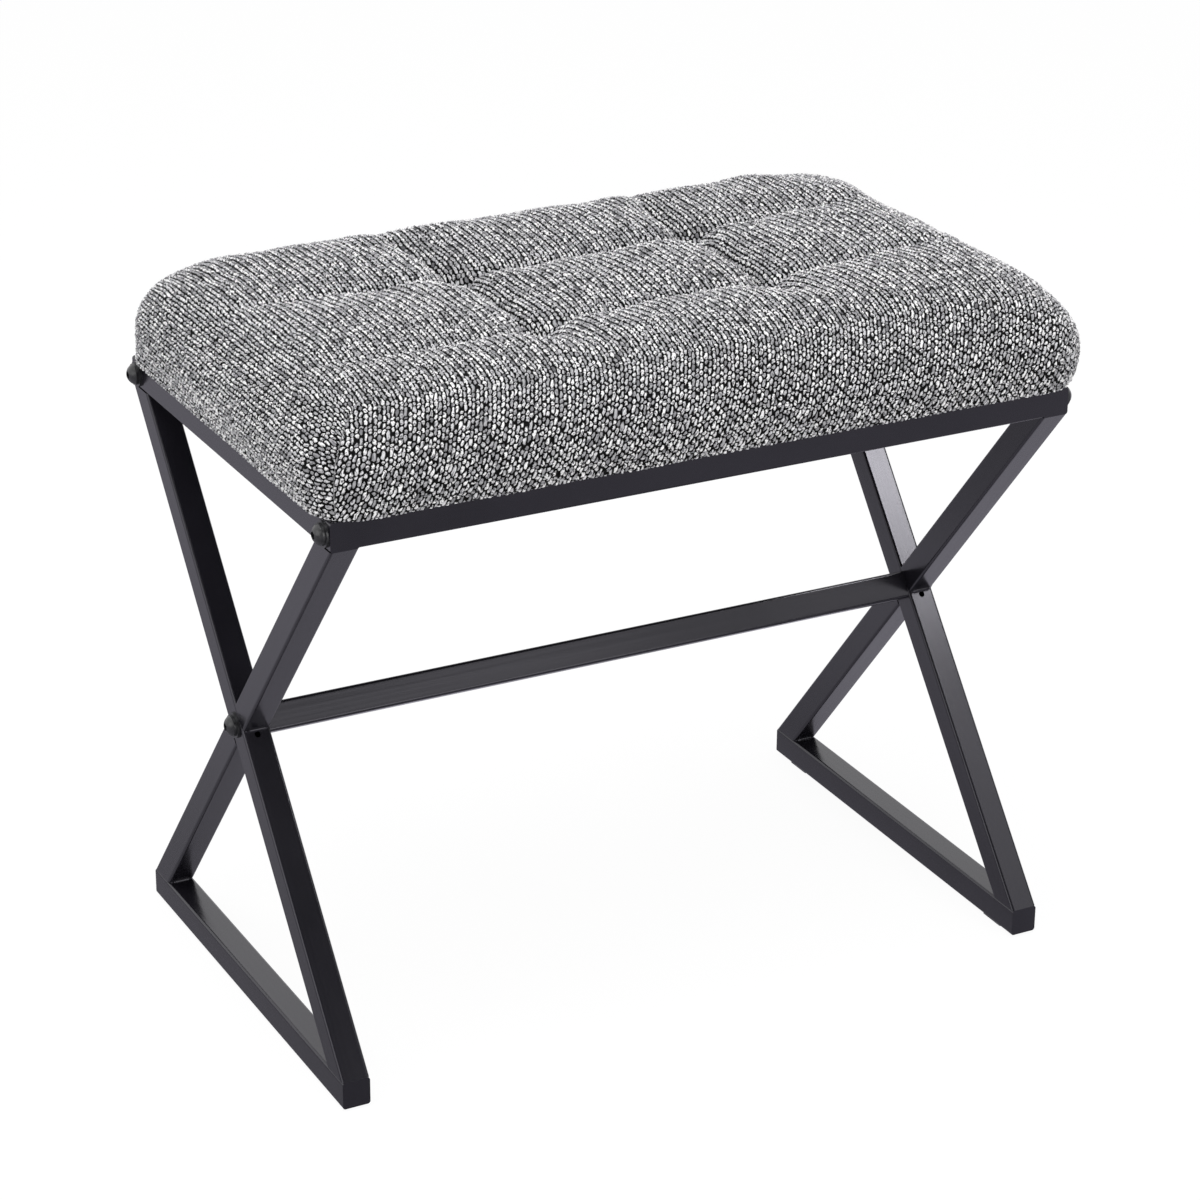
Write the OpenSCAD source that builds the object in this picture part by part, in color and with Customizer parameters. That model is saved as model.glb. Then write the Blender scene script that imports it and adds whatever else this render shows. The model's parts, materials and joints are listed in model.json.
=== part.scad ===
// Upholstered stool on a bolted frame of square steel tube.
// Two welded end frames, each crossed like an X between a top and a bottom bar,
// carry two long rails and one stretcher. A tufted seat is screwed on from below.
// Millimetres. +X runs along the seat, +Y to the back, +Z up.
// The origin is on the floor, under the middle of the stool.

/* [Frame] */
// Length over the two end frames
frame_l = 550; // [420:5:800]
// Depth of an end frame, front to back
frame_d = 340; // [300:5:480]
// Height of an end frame, without its glides
frame_h = 422; // [320:2:560]
// Outside width of the square tube
tube = 20; // [18:0.5:25]
// Wall thickness of the tube
tube_wall = 1.2; // [1:0.1:2]
// Outside corner radius of the tube
tube_r = 2; // [1.2:0.1:3]
// Thickness of the plates that close the ends of the bars
end_plate_t = 1.5; // [1:0.1:3]
// Turn of the stretcher about its own length, front face upwards, in degrees
stretcher_turn = 30; // [0:1:45]
// Diameter of the vent hole below each crossing
vent_d = 4.5; // [3:0.5:6]
// Distance along the leg from the crossing to the edge of the vent hole
vent_edge = 1.2; // [0.5:0.1:8]

/* [Frame bolts] */
// Thread diameter of the frame bolts
bolt_d = 8; // [6:1:10]
// Depth that a frame bolt reaches into its threaded plug
bolt_grip = 11.4; // [8:0.2:20]
// Diameter of the domed head
bolt_head_d = 14; // [12:0.5:18]
// Height of the domed head
bolt_head_h = 4.4; // [3.5:0.1:6]
// Width of the hexagonal socket across its flats
bolt_key = 5; // [4:0.5:6]
// Depth of the hexagonal socket
bolt_key_depth = 2.6; // [2:0.1:3]
// Outside diameter of the flat washers
washer_d = 18; // [16:0.5:19]
// Thickness of the flat washers
washer_t = 1.6; // [1:0.1:3]
// Outside diameter of the split spring washers
spring_washer_d = 14.8; // [14:0.2:16]
// Thickness of the split spring washers
spring_washer_t = 2; // [1.5:0.1:3]
// Width of the split in a spring washer
spring_washer_split = 0.8; // [0.5:0.1:1.5]
// Length of a threaded plug past the tip of its bolt
plug_spare = 2.6; // [1:0.2:10]
// Clearance round a plug in its tube and a tee nut in the board, per side
press_gap = 0.1; // [0.05:0.05:0.3]
// Clearance of a bolt or screw in a plain hole, on the radius
hole_gap = 0.25; // [0.1:0.05:0.5]
// Clearance of a bolt or screw in a threaded hole, on the radius
thread_gap = 0.05; // [0.02:0.01:0.1]

/* [Glides] */
// Thickness of the glides under the bottom bars
glide_t = 2; // [1:0.5:6]
// Length of a glide along its bar
glide_l = 24; // [15:1:40]
// Width of a glide across its bar
glide_w = 15; // [10:0.5:17]
// Distance from the end of the bar to the glide
glide_setback = 18; // [5:1:40]

/* [Seat board] */
// Distance that the board stands out past the frame's edge
board_over = 2; // [1.5:0.5:3]
// Thickness of the plywood board
board_t = 12; // [9:1:18]
// Corner radius of the board
board_r = 26; // [20:1:40]
// Thread diameter of the seat screws
screw_d = 6; // [5:1:8]
// Distance between the two seat screws in a rail
screw_span = 295; // [200:5:360]
// Diameter of a seat screw's domed head
screw_head_d = 10.5; // [9.5:0.5:14]
// Height of a seat screw's domed head
screw_head_h = 3.3; // [2.5:0.1:4.5]
// Width of a seat screw's hexagonal socket across its flats
screw_key = 4; // [3:0.5:5]
// Depth of a seat screw's hexagonal socket
screw_key_depth = 2; // [1.5:0.1:2.2]
// Distance from the screw's tip up to the top of the board
screw_short = 4; // [2:0.5:5]
// Flange diameter of the tee nuts
tee_flange_d = 19; // [16:0.5:20]
// Flange thickness of the tee nuts
tee_flange_t = 1.2; // [1:0.1:2]
// Wall of the tee nut's barrel
tee_wall = 0.9; // [0.8:0.1:1.5]
// Height of the tee nut with its flange
tee_h = 9; // [7:0.5:9]

/* [Cushion] */
// Height of the cushion's pillows above the frame
cushion_h = 76; // [60:1:110]
// Distance that the cushion's sides stand out past the frame
belly = 12; // [10:1:18]
// Width of the rounding along the top edge
edge_round = 13; // [8:1:20]
// Corner radius of the cushion in plan
corner_r = 46; // [36:1:60]
// Amount by which the long sides draw in between their corners
side_draw = 2; // [0:0.5:4]
// Extra height in the middle of the seat
crown = 4; // [0:0.5:10]
// Thickness of the fabric cover
cover_t = 2; // [1.5:0.1:3]
// Width of the cover's hem under the board
hem_w = 26; // [20:1:40]
// Thickness of the dust cloth under the board
dust_t = 0.5; // [0.3:0.1:0.8]
// Distance of the dust cloth's edge inside the board's edge
dust_inset = 5; // [3:0.5:5.5]
// Clearance between soft parts and what they wrap
soft_gap = 0.3; // [0.2:0.05:0.5]

/* [Tufts] */
// Distance between tufts along the seat
tuft_span_x = 184; // [140:2:240]
// Distance between tufts across the seat
tuft_span_y = 114; // [90:2:160]
// Depth of a tuft below the channel that runs through it
tuft_depth = 9; // [0:0.5:14]
// Depth of the two sewn channels that run along the seat
channel_depth = 9; // [0:0.5:12]
// Depth of the two creases that run across the seat
crease_depth = 5; // [0:0.5:12]
// Diameter of the cord that ties each tuft down
tie_d = 2; // [1:0.5:3]
// Diameter of the flat button that anchors each tie under the board
anchor_d = 22; // [16:1:30]
// Share of the gap between board and dust cloth that a button fills
anchor_fill = 0.8; // [0.5:0.05:0.95]

/* [Hidden] */
$fn = 24;
small_fn = 16; // facets of small round shapes that don't show

frame_colour = [0.09, 0.09, 0.10];
bolt_colour = [0.05, 0.05, 0.06];
zinc_colour = [0.70, 0.71, 0.72];
glide_colour = [0.03, 0.03, 0.03];
wood_colour = [0.76, 0.62, 0.44];
foam_colour = [0.93, 0.89, 0.74];
cover_colour = [0.45, 0.45, 0.46];
dust_colour = [0.07, 0.07, 0.08];
cord_colour = [0.85, 0.84, 0.80];

LEFT = -1;
RIGHT = 1;
CUT = 1; // overlap that keeps cutting shapes off the faces they cut
FAR = 2000; // size of a block that cuts a whole half space
hem_corner_r = 6; // least corner radius of the hem's inner edge

// Frame, worked out from its driving sizes
tube_in = tube - 2 * tube_wall;
tube_in_r = max(tube_r - tube_wall, 0.3);
end_x = (frame_l - tube) / 2;
rail_l = frame_l - 2 * tube;
rail_y = (frame_d - tube) / 2;
z_frame = glide_t;
z_seat = z_frame + frame_h;
z_rail = z_seat - tube / 2;
z_cross = z_frame + frame_h / 2;
leg_rise = frame_h - 2 * tube;
leg_angle = atan2(leg_rise, frame_d) + asin(tube / norm([frame_d, leg_rise]));
valley = tube / (2 * tan(leg_angle)); // crossing's valley, measured along the leg

// Bolts, worked out from what they pass through
bolt_l = spring_washer_t + washer_t + tube + bolt_grip;
bolt_hole_r = bolt_d / 2 + hole_gap;
plug_l = bolt_grip + plug_spare;
plug_w = tube_in - 2 * press_gap;
plug_r = tube_in_r + press_gap;
bolt_spots = [
    for (side = [LEFT, RIGHT], y = [-rail_y, rail_y]) [side, y, z_rail],
    for (side = [LEFT, RIGHT]) [side, 0, z_cross]
];

// Seat stack, from the frame upwards
z_hem = z_seat + dust_t;
z_board = z_hem + cover_t;
z_foam = z_board + board_t;
z_pillow = z_seat + cushion_h;
board_a = frame_l / 2 + board_over;
board_b = frame_d / 2 + board_over;
screw_hole_r = screw_d / 2 + hole_gap;
screw_l = z_foam - screw_short - (z_seat - tube);
screw_spots = [for (x = [-screw_span / 2, screw_span / 2], y = [-rail_y, rail_y]) [x, y]];
tee_barrel_r = screw_d / 2 + thread_gap + tee_wall;
tuft_x = tuft_span_x / 2;
tuft_y = tuft_span_y / 2;
tuft_spots = [for (x = [-tuft_x, tuft_x], y = [-tuft_y, tuft_y]) [x, y]];
anchor_t = cover_t * anchor_fill;
tie_hole_r = tie_d / 2 + 1;

// Lines of the cushion's top grid, as shares of the way to a tuft and from it to the edge
lines_in_x = [0.45, 0.78, 1];
lines_out_x = [0.12, 0.38, 0.75, 0.88, 1];
lines_in_y = [0.66, 1];
lines_out_y = [0.25, 0.59, 0.80, 1];
// Widths over which a channel, a tuft and the rounding of the edge fade out
channel_w = 13;
tuft_w = 16;
edge_w = 36;
channel_end_loss = 0.75; // share of its depth that a channel loses on its way to the edge
// Where the cover turns in below the belly: shares of the belly and of the board's thickness
tuck_out = 0.35;
tuck_up = 0.4;

function flip(v) = [for (i = [len(v) - 1 : -1 : 0]) -v[i]];
function half_lines(tuft, edge, inner, outer) = concat(
    [for (s = inner) s * tuft],
    [for (s = outer) tuft + s * (edge - tuft)]);
function grid_lines(tuft, edge, inner, outer) =
    let (h = half_lines(tuft, edge, inner, outer)) concat(flip(h), [0], h);

// Square grid bent to a plan with round corners
function bend(x, a, r) = max(abs(x) - (a - r), 0) / r;
function bent(x, y, a, b, r) =
    let (u = bend(x, a, r), v = bend(y, b, r))
    [sign(x) * (min(abs(x), a - r) + r * u * sqrt(1 - v * v / 2)),
     sign(y) * (min(abs(y), b - r) + r * v * sqrt(1 - u * u / 2))];

// Height of the top at a place in plan, for a top whose edge lies at a, b
function fade(d, w) = exp(-abs(d) / w);
function edge_fall(d) = pow(max(1 - d / edge_w, 0), 2);
function seat_z(x, y, a, b) =
    let (
        dome = crown * (1 - pow(x / a, 2)) * (1 - pow(y / b, 2)),
        along = fade(abs(y) - tuft_y, channel_w) * (1 - channel_end_loss * pow(x / a, 4)),
        across = fade(abs(x) - tuft_x, channel_w) * (1 - channel_end_loss * pow(y / b, 4)),
        pit = fade(norm([abs(x) - tuft_x, abs(y) - tuft_y]), tuft_w),
        inside = min(a - abs(x), b - abs(y)),
        edge_drop = (z_pillow - z_foam) * (1 - side_rings[0][1])
    )
    z_pillow + dome - channel_depth * along - crease_depth * across * (1 - along)
        - tuft_depth * pit - (edge_drop + dome) * edge_fall(inside);

// Rings from the edge of the top down the sides: inset from the belly, height as a
// share of the padding, and the tilt of the surface there
side_rings = [
    [edge_round, 0.86, 50],
    [edge_round * 0.32, 0.68, 25],
    [0, 0.42, 0],
    [belly * 0.25, 0.14, -15]
];
belly_a = frame_l / 2 + belly;
belly_b = frame_d / 2 + belly;
function ring_a(k, off) = belly_a - side_rings[k][0] - off * cos(side_rings[k][2]);
function ring_b(k, off) = belly_b - side_rings[k][0] - off * cos(side_rings[k][2]);
function ring_z(k, off) =
    z_foam + (z_pillow - z_foam) * side_rings[k][1] - off * sin(side_rings[k][2]);

// Walk round the edge of a grid of nx by ny cells
function rim_cells(nx, ny) = concat(
    [for (i = [0 : nx - 1]) [i, 0]],
    [for (j = [0 : ny - 1]) [nx, j]],
    [for (i = [nx : -1 : 1]) [i, ny]],
    [for (j = [ny : -1 : 1]) [0, j]]);

cells_x = 2 * (len(lines_in_x) + len(lines_out_x));
cells_y = 2 * (len(lines_in_y) + len(lines_out_y));
rim = rim_cells(cells_x, cells_y);
rim_n = len(rim);
grid_n = (cells_x + 1) * (cells_y + 1);

function top_grid(off) =
    let (
        a = ring_a(0, off), b = ring_b(0, off), r = corner_r - off,
        xs = grid_lines(tuft_x, a, lines_in_x, lines_out_x),
        ys = grid_lines(tuft_y, b, lines_in_y, lines_out_y)
    )
    [for (y = ys, x = xs) let (p = bent(x, y, a, b, r)) [p[0], p[1], seat_z(x, y, a, b) - off]];

// One loop of points round the cushion, through the same directions as the grid's rim
function loop(a, b, r, z, draw) =
    let (
        xs = grid_lines(tuft_x, a, lines_in_x, lines_out_x),
        ys = grid_lines(tuft_y, b, lines_in_y, lines_out_y)
    )
    [for (c = rim)
        let (
            p = bent(xs[c[0]], ys[c[1]], a, b, r),
            pull = draw * max(1 - pow(p[0] / (a - r), 2), 0)
        )
        [p[0], p[1] - sign(p[1]) * pull, z]];
function side_loop(k, off) =
    loop(ring_a(k, off), ring_b(k, off), corner_r - off, ring_z(k, off), side_draw);
function board_loop(grow, z) =
    loop(board_a + grow, board_b + grow, max(board_r + grow, hem_corner_r), z, 0);

// Faces of a grid and of a band between two loops, seen clockwise from outside
function tri(a, b, c, d, up) = up ? [[a, c, b], [a, d, c]] : [[a, b, c], [a, c, d]];
function grid_faces(start, up) = [
    for (j = [0 : cells_y - 1], i = [0 : cells_x - 1])
        let (p = start + j * (cells_x + 1) + i, q = p + cells_x + 1)
        for (t = tri(p, p + 1, q + 1, q, up)) t];
function rim_ids(start) = [for (c = rim) start + c[1] * (cells_x + 1) + c[0]];
function loop_ids(start) = [for (i = [0 : rim_n - 1]) start + i];
function band(upper, lower) = [
    for (i = [0 : rim_n - 1])
        let (k = (i + 1) % rim_n)
        for (t = tri(upper[i], lower[i], lower[k], upper[k], true)) t];
function bands(ids) = [for (i = [0 : len(ids) - 2]) for (t = band(ids[i], ids[i + 1])) t];
function join(lists) = [for (v = lists) for (p = v) p];

// Plain building blocks
module round_rect(w, h, r) {
    square([w - 2 * r, h], center = true);
    square([w, h - 2 * r], center = true);
    for (x = [-1, 1], y = [-1, 1])
        translate([x * (w / 2 - r), y * (h / 2 - r)]) circle(r);
}

module tube_section() {
    difference() {
        round_rect(tube, tube, tube_r);
        round_rect(tube_in, tube_in, tube_in_r);
    }
}

module tube_along_x(l) {
    rotate([0, 90, 0]) linear_extrude(l, center = true) tube_section();
}

module tube_along_y(l) {
    rotate([90, 0, 0]) linear_extrude(l, center = true) tube_section();
}

// A straight hole along X, through the whole tube
module cross_hole(r) {
    rotate([0, 90, 0]) cylinder(r = r, h = tube + 2 * CUT, center = true);
}

// Outline of a leg at one slope, cut level where it meets the bars
module leg_blank(slope) {
    intersection() {
        translate([0, 0, z_cross]) rotate([slope, 0, 0]) tube_along_y(FAR);
        translate([-tube, -FAR / 2, z_frame + tube]) cube([2 * tube, FAR, leg_rise]);
    }
}

// Room that the through leg takes where a half leg is welded to it
module through_leg_room() {
    translate([0, 0, z_cross]) rotate([leg_angle, 0, 0]) cube([2 * tube, FAR, tube], center = true);
}

module half_leg(up) {
    difference() {
        leg_blank(-leg_angle);
        through_leg_room();
        translate([-tube, -FAR / 2, up > 0 ? z_cross - FAR : z_cross]) cube([2 * tube, FAR, FAR]);
    }
}

module vent_hole() {
    along = valley + vent_edge + vent_d / 2;
    translate([0, 0, z_cross]) rotate([leg_angle, 0, 0])
        translate([0, -along, tube / 2 - tube_wall - CUT])
            cylinder(d = vent_d, h = tube_wall + 2 * CUT);
}

// Pieces of one end frame
module top_bar(side) {
    color(frame_colour) translate([side * end_x, 0, z_rail]) difference() {
        tube_along_y(frame_d - 2 * end_plate_t);
        for (y = [-rail_y, rail_y]) translate([0, y, 0]) cross_hole(bolt_hole_r);
    }
}

module bottom_bar(side) {
    color(frame_colour) translate([side * end_x, 0, z_frame + tube / 2])
        tube_along_y(frame_d - 2 * end_plate_t);
}

module through_leg(side) {
    color(frame_colour) translate([side * end_x, 0, 0]) difference() {
        leg_blank(leg_angle);
        translate([0, 0, z_cross]) cross_hole(bolt_hole_r);
        vent_hole();
    }
}

module upper_half_leg(side) {
    color(frame_colour) translate([side * end_x, 0, 0]) half_leg(1);
}

module lower_half_leg(side) {
    color(frame_colour) translate([side * end_x, 0, 0]) half_leg(-1);
}

module end_plates(side) {
    color(frame_colour)
        for (z = [z_frame + tube / 2, z_rail], y = [-1, 1])
            translate([side * end_x, y * (frame_d - end_plate_t) / 2, z])
                rotate([90, 0, 0]) linear_extrude(end_plate_t, center = true)
                    round_rect(tube, tube, tube_r);
}

// Rails, stretcher and their threaded plugs
module rail(y) {
    color(frame_colour) translate([0, y, z_rail]) difference() {
        tube_along_x(rail_l);
        for (x = [-screw_span / 2, screw_span / 2])
            translate([x, 0, 0]) cylinder(r = screw_hole_r, h = tube + 2 * CUT, center = true);
    }
}

module stretcher() {
    color(frame_colour) translate([0, 0, z_cross]) rotate([-stretcher_turn, 0, 0]) tube_along_x(rail_l);
}

module threaded_plug() {
    rotate([0, 90, 0]) linear_extrude(plug_l) difference() {
        round_rect(plug_w, plug_w, plug_r);
        circle(bolt_d / 2 + thread_gap);
    }
}

module plug_pair() {
    for (m = [0, 1]) mirror([m, 0, 0]) translate([-rail_l / 2, 0, 0]) threaded_plug();
}

module rail_plugs() {
    color(zinc_colour) for (y = [-rail_y, rail_y]) translate([0, y, z_rail]) plug_pair();
}

module stretcher_plugs() {
    color(zinc_colour) translate([0, 0, z_cross]) rotate([-stretcher_turn, 0, 0]) plug_pair();
}

// A domed socket screw along +Z, with the underside of its head at z = 0
module domed_screw(d, l, head_d, head_h, key, key_depth) {
    ball_r = (pow(head_d / 2, 2) + pow(head_h, 2)) / (2 * head_h);
    difference() {
        union() {
            intersection() {
                translate([0, 0, head_h - ball_r]) sphere(ball_r);
                cylinder(d = head_d, h = head_h);
            }
            translate([0, 0, -l]) cylinder(d = d, h = l + head_h / 4);
        }
        translate([0, 0, head_h - key_depth])
            cylinder(d = key / cos(30), h = key_depth + CUT, $fn = 6);
    }
}

module washer(d, hole_r, t) {
    difference() {
        cylinder(d = d, h = t);
        translate([0, 0, -CUT]) cylinder(r = hole_r, h = t + 2 * CUT);
    }
}

// Sets what follows on each bolt's seat, pointing out of the end frame
module at_bolts(lift) {
    for (s = bolt_spots)
        translate([s[0] * (frame_l / 2 + lift), s[1], s[2]]) rotate([0, s[0] * 90, 0]) children();
}

module frame_bolts() {
    color(bolt_colour) at_bolts(washer_t + spring_washer_t)
        domed_screw(bolt_d, bolt_l, bolt_head_d, bolt_head_h, bolt_key, bolt_key_depth);
}

module spring_washers() {
    color(bolt_colour) at_bolts(washer_t) difference() {
        washer(spring_washer_d, bolt_hole_r, spring_washer_t);
        translate([-spring_washer_split / 2, 0, -CUT])
            cube([spring_washer_split, spring_washer_d, spring_washer_t + 2 * CUT]);
    }
}

module flat_washers() {
    color(bolt_colour) at_bolts(0) washer(washer_d, bolt_hole_r, washer_t);
}

module glides() {
    glide_y = frame_d / 2 - glide_setback - glide_l / 2;
    color(glide_colour)
        for (x = [-end_x, end_x], y = [-glide_y, glide_y])
            translate([x, y, 0]) linear_extrude(glide_t) round_rect(glide_w, glide_l, 2);
}

// Seat board and its fasteners
module seat_board() {
    color(wood_colour) difference() {
        translate([0, 0, z_board]) linear_extrude(board_t) round_rect(2 * board_a, 2 * board_b, board_r);
        for (s = screw_spots) translate([s[0], s[1], z_board]) {
            translate([0, 0, -CUT]) cylinder(r = tee_barrel_r + press_gap, h = board_t + 2 * CUT);
            translate([0, 0, board_t - tee_flange_t])
                cylinder(r = tee_flange_d / 2 + hole_gap, h = tee_flange_t + CUT);
        }
        for (t = tuft_spots)
            translate([t[0], t[1], z_board - CUT])
                cylinder(r = tie_hole_r, h = board_t + 2 * CUT, $fn = small_fn);
    }
}

module tee_nuts() {
    color(zinc_colour) for (s = screw_spots) translate([s[0], s[1], z_foam]) difference() {
        union() {
            translate([0, 0, -tee_flange_t]) cylinder(d = tee_flange_d, h = tee_flange_t);
            translate([0, 0, -tee_h]) cylinder(r = tee_barrel_r, h = tee_h);
        }
        translate([0, 0, -tee_h - CUT]) cylinder(r = screw_d / 2 + thread_gap, h = tee_h + 2 * CUT);
    }
}

module seat_screws() {
    color(bolt_colour) for (s = screw_spots)
        translate([s[0], s[1], z_seat - tube]) rotate([180, 0, 0])
            domed_screw(screw_d, screw_l, screw_head_d, screw_head_h, screw_key, screw_key_depth);
}

// Padding: flat on the board, crowned and tufted above
module foam_form() {
    off = cover_t + soft_gap;
    ids = [
        rim_ids(0),
        for (k = [0 : len(side_rings) - 1]) loop_ids(grid_n + k * rim_n)
    ];
    base = grid_n + (len(side_rings) - 1) * rim_n;
    middle = base + rim_n;
    points = join([
        top_grid(off),
        for (k = [1 : len(side_rings) - 1]) side_loop(k, off),
        board_loop(0, z_foam),
        [[0, 0, z_foam]]
    ]);
    floor_faces = [for (i = [0 : rim_n - 1]) [base + i, middle, base + (i + 1) % rim_n]];
    polyhedron(points, join([grid_faces(0, true), bands(ids), floor_faces]), convexity = 6);
}

module foam_pad() {
    color(foam_colour) difference() {
        foam_form();
        for (t = tuft_spots)
            translate([t[0], t[1], z_foam - CUT]) cylinder(r = tie_hole_r, h = cushion_h, $fn = small_fn);
    }
}

// Cover: one closed skin that runs over the padding, round the board and under its edge
module cover_form() {
    rings = len(side_rings);
    outer = [for (k = [1 : rings - 1]) side_loop(k, 0)];
    inner = [for (k = [rings - 1 : -1 : 1]) side_loop(k, cover_t)];
    skin = soft_gap + cover_t;
    under = [
        board_loop(skin + belly * tuck_out, z_hem + board_t * tuck_up),
        board_loop(skin, z_hem),
        board_loop(-hem_w, z_hem),
        board_loop(-hem_w, z_board),
        board_loop(soft_gap, z_board),
        board_loop(soft_gap, z_foam)
    ];
    loops = concat(outer, under, inner);
    last = grid_n + len(loops) * rim_n;
    points = join(concat([top_grid(0)], loops, [top_grid(cover_t)]));
    ids = concat(
        [rim_ids(0)],
        [for (k = [0 : len(loops) - 1]) loop_ids(grid_n + k * rim_n)],
        [rim_ids(last)]);
    polyhedron(points, join([grid_faces(0, true), bands(ids), grid_faces(last, false)]), convexity = 8);
}

module seat_cover() {
    color(cover_colour) difference() {
        cover_form();
        for (s = screw_spots)
            translate([s[0], s[1], z_hem - CUT])
                cylinder(r = screw_hole_r, h = cover_t + soft_gap + CUT, $fn = small_fn);
    }
}

module dust_cloth() {
    color(dust_colour) translate([0, 0, z_seat]) difference() {
        linear_extrude(dust_t)
            round_rect(2 * (board_a - dust_inset), 2 * (board_b - dust_inset), board_r - dust_inset);
        for (s = screw_spots)
            translate([s[0], s[1], -CUT]) cylinder(r = screw_hole_r, h = dust_t + 2 * CUT);
    }
}

module tuft_anchors() {
    color(glide_colour) for (t = tuft_spots)
        translate([t[0], t[1], z_board - anchor_t])
            washer(anchor_d, tie_d / 2 + hole_gap, anchor_t, $fn = small_fn);
}

module tuft_ties() {
    tie_top = seat_z(tuft_x, tuft_y, ring_a(0, 0), ring_b(0, 0)) - cover_t - soft_gap;
    color(cord_colour) for (t = tuft_spots)
        translate([t[0], t[1], z_board - anchor_t])
            cylinder(d = tie_d, h = tie_top - z_board + anchor_t, $fn = small_fn);
}

top_bar(LEFT);  // left_top_bar
bottom_bar(LEFT);  // left_bottom_bar
through_leg(LEFT);  // left_through_leg
upper_half_leg(LEFT);  // left_upper_half_leg
lower_half_leg(LEFT);  // left_lower_half_leg
end_plates(LEFT);  // left_end_plates
top_bar(RIGHT);  // right_top_bar
bottom_bar(RIGHT);  // right_bottom_bar
through_leg(RIGHT);  // right_through_leg
upper_half_leg(RIGHT);  // right_upper_half_leg
lower_half_leg(RIGHT);  // right_lower_half_leg
end_plates(RIGHT);  // right_end_plates
rail(-rail_y);  // front_rail
rail(rail_y);  // back_rail
stretcher();
rail_plugs();
stretcher_plugs();
frame_bolts();
spring_washers();
flat_washers();
glides();
seat_board();
tee_nuts();
seat_screws();
foam_pad();
seat_cover();
dust_cloth();
tuft_ties();
tuft_anchors();
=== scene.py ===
"""A tufted stool on two crossed steel end frames, dressed for a plain studio picture.

Lengths are in metres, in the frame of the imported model: +X along the seat, +Y to the
back, +Z up, with the origin on the floor under the middle of the stool.
"""
import json
import math

import bpy
import numpy as np
from mathutils import Matrix, Vector

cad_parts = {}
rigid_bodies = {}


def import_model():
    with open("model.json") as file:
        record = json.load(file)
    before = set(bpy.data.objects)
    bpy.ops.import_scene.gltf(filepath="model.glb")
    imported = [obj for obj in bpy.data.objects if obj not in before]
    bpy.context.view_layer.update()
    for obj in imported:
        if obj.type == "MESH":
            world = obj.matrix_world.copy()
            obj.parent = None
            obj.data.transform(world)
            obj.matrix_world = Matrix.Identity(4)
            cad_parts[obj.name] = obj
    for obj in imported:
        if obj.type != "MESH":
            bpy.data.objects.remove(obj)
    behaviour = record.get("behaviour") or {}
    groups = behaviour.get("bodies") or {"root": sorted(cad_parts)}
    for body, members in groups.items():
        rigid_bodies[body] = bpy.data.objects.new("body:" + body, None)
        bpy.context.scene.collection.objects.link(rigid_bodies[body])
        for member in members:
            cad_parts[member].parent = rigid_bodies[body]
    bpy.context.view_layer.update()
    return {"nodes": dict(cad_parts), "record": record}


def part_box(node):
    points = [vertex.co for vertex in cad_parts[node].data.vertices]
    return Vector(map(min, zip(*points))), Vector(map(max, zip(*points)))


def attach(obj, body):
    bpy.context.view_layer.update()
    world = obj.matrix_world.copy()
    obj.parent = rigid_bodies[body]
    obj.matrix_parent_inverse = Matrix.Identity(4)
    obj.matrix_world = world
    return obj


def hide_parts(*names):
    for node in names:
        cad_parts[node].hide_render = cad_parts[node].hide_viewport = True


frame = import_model()
MM = 0.001

# Heights and sizes that the frame gives
SEAT_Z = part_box("front_rail")[1].z
BOARD_LOW, BOARD_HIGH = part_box("seat_board")
HEM_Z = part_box("seat_cover")[0].z
FRAME_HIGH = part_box("right_top_bar")[1]
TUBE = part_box("front_rail")[1].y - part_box("front_rail")[0].y
END_X = FRAME_HIGH.x - TUBE / 2
CROSS_Z = (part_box("left_bottom_bar")[0].z + SEAT_Z) / 2
LEG_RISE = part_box("left_through_leg")[1].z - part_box("left_through_leg")[0].z
FRAME_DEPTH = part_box("left_end_plates")[1].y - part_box("left_end_plates")[0].y
LEG_ANGLE = math.atan2(LEG_RISE, FRAME_DEPTH) + math.asin(
    TUBE / math.hypot(LEG_RISE, FRAME_DEPTH))

# Keeps a division from meeting zero
TINY = 1e-9

# Waves that add up to one smooth noise
NOISE_WAVES = 12

# Cushion: half its length and depth, its corners seen from above, and its side, from the
# board's rim out to the belly and over the rolled edge to the top
SEAT_MID = Vector((5.0 * MM, 0.0))
SEAT_A, SEAT_B = 286.5 * MM, 179.5 * MM
CORNER_R, CORNER_TOP_R = 40 * MM, 64 * MM
BELLY_H, BELLY_STEPS = 25 * MM, 8
ROLL_LEFT, ROLL_RIGHT = 40 * MM, 56 * MM
ROLL_FRONT, ROLL_BACK = 74 * MM, 54 * MM
ROLL_H, ROLL_STEPS = 49 * MM, 18
BOARD_R, RIM_GAP, RIM_DROP = 28 * MM, 1.8 * MM, 4 * MM
EDGE_SAG, EDGE_SAG_MEAN, EDGE_SAG_SIZE = 2.0 * MM, 0.4, 75 * MM
SKEW_RIGHT, SKEW_LEFT = -2.5 * MM, 2.5 * MM
PULL_LONG, PULL_END = 1.5 * MM, 1.0 * MM
VOXEL = 4.2 * MM
FINER_LEVELS = 2
TOP_START, TOP_FADE = 30 * MM, 30 * MM
HEM_W, HEM_R = 26 * MM, 26 * MM
SOFT_GAP = 0.3 * MM

# Tufts: left back, left front, right back and right front
TUFTS = [(x * MM, y * MM) for x, y in [(-86, 41), (-85, -77), (100, 54), (98, -57)]]

# Seams of the top, which end a little inside the cushion's edge
SEAM_W, SEAM_REST = 30 * MM, 20 * MM

# The two along the seat bow towards each other between the tufts, and grow shallow
# towards the ends
LONG_DEPTH, LONG_BOW = 7.5 * MM, 6 * MM
LONG_REACH = (-0.6, 1.6)
LONG_FULL, LONG_LOSS, LONG_POWER = 100 * MM, 0.9, 1.3
FRONT_DEPTH_SHARE, FRONT_BOW_SHARE = 1.05, 0.6

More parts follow.
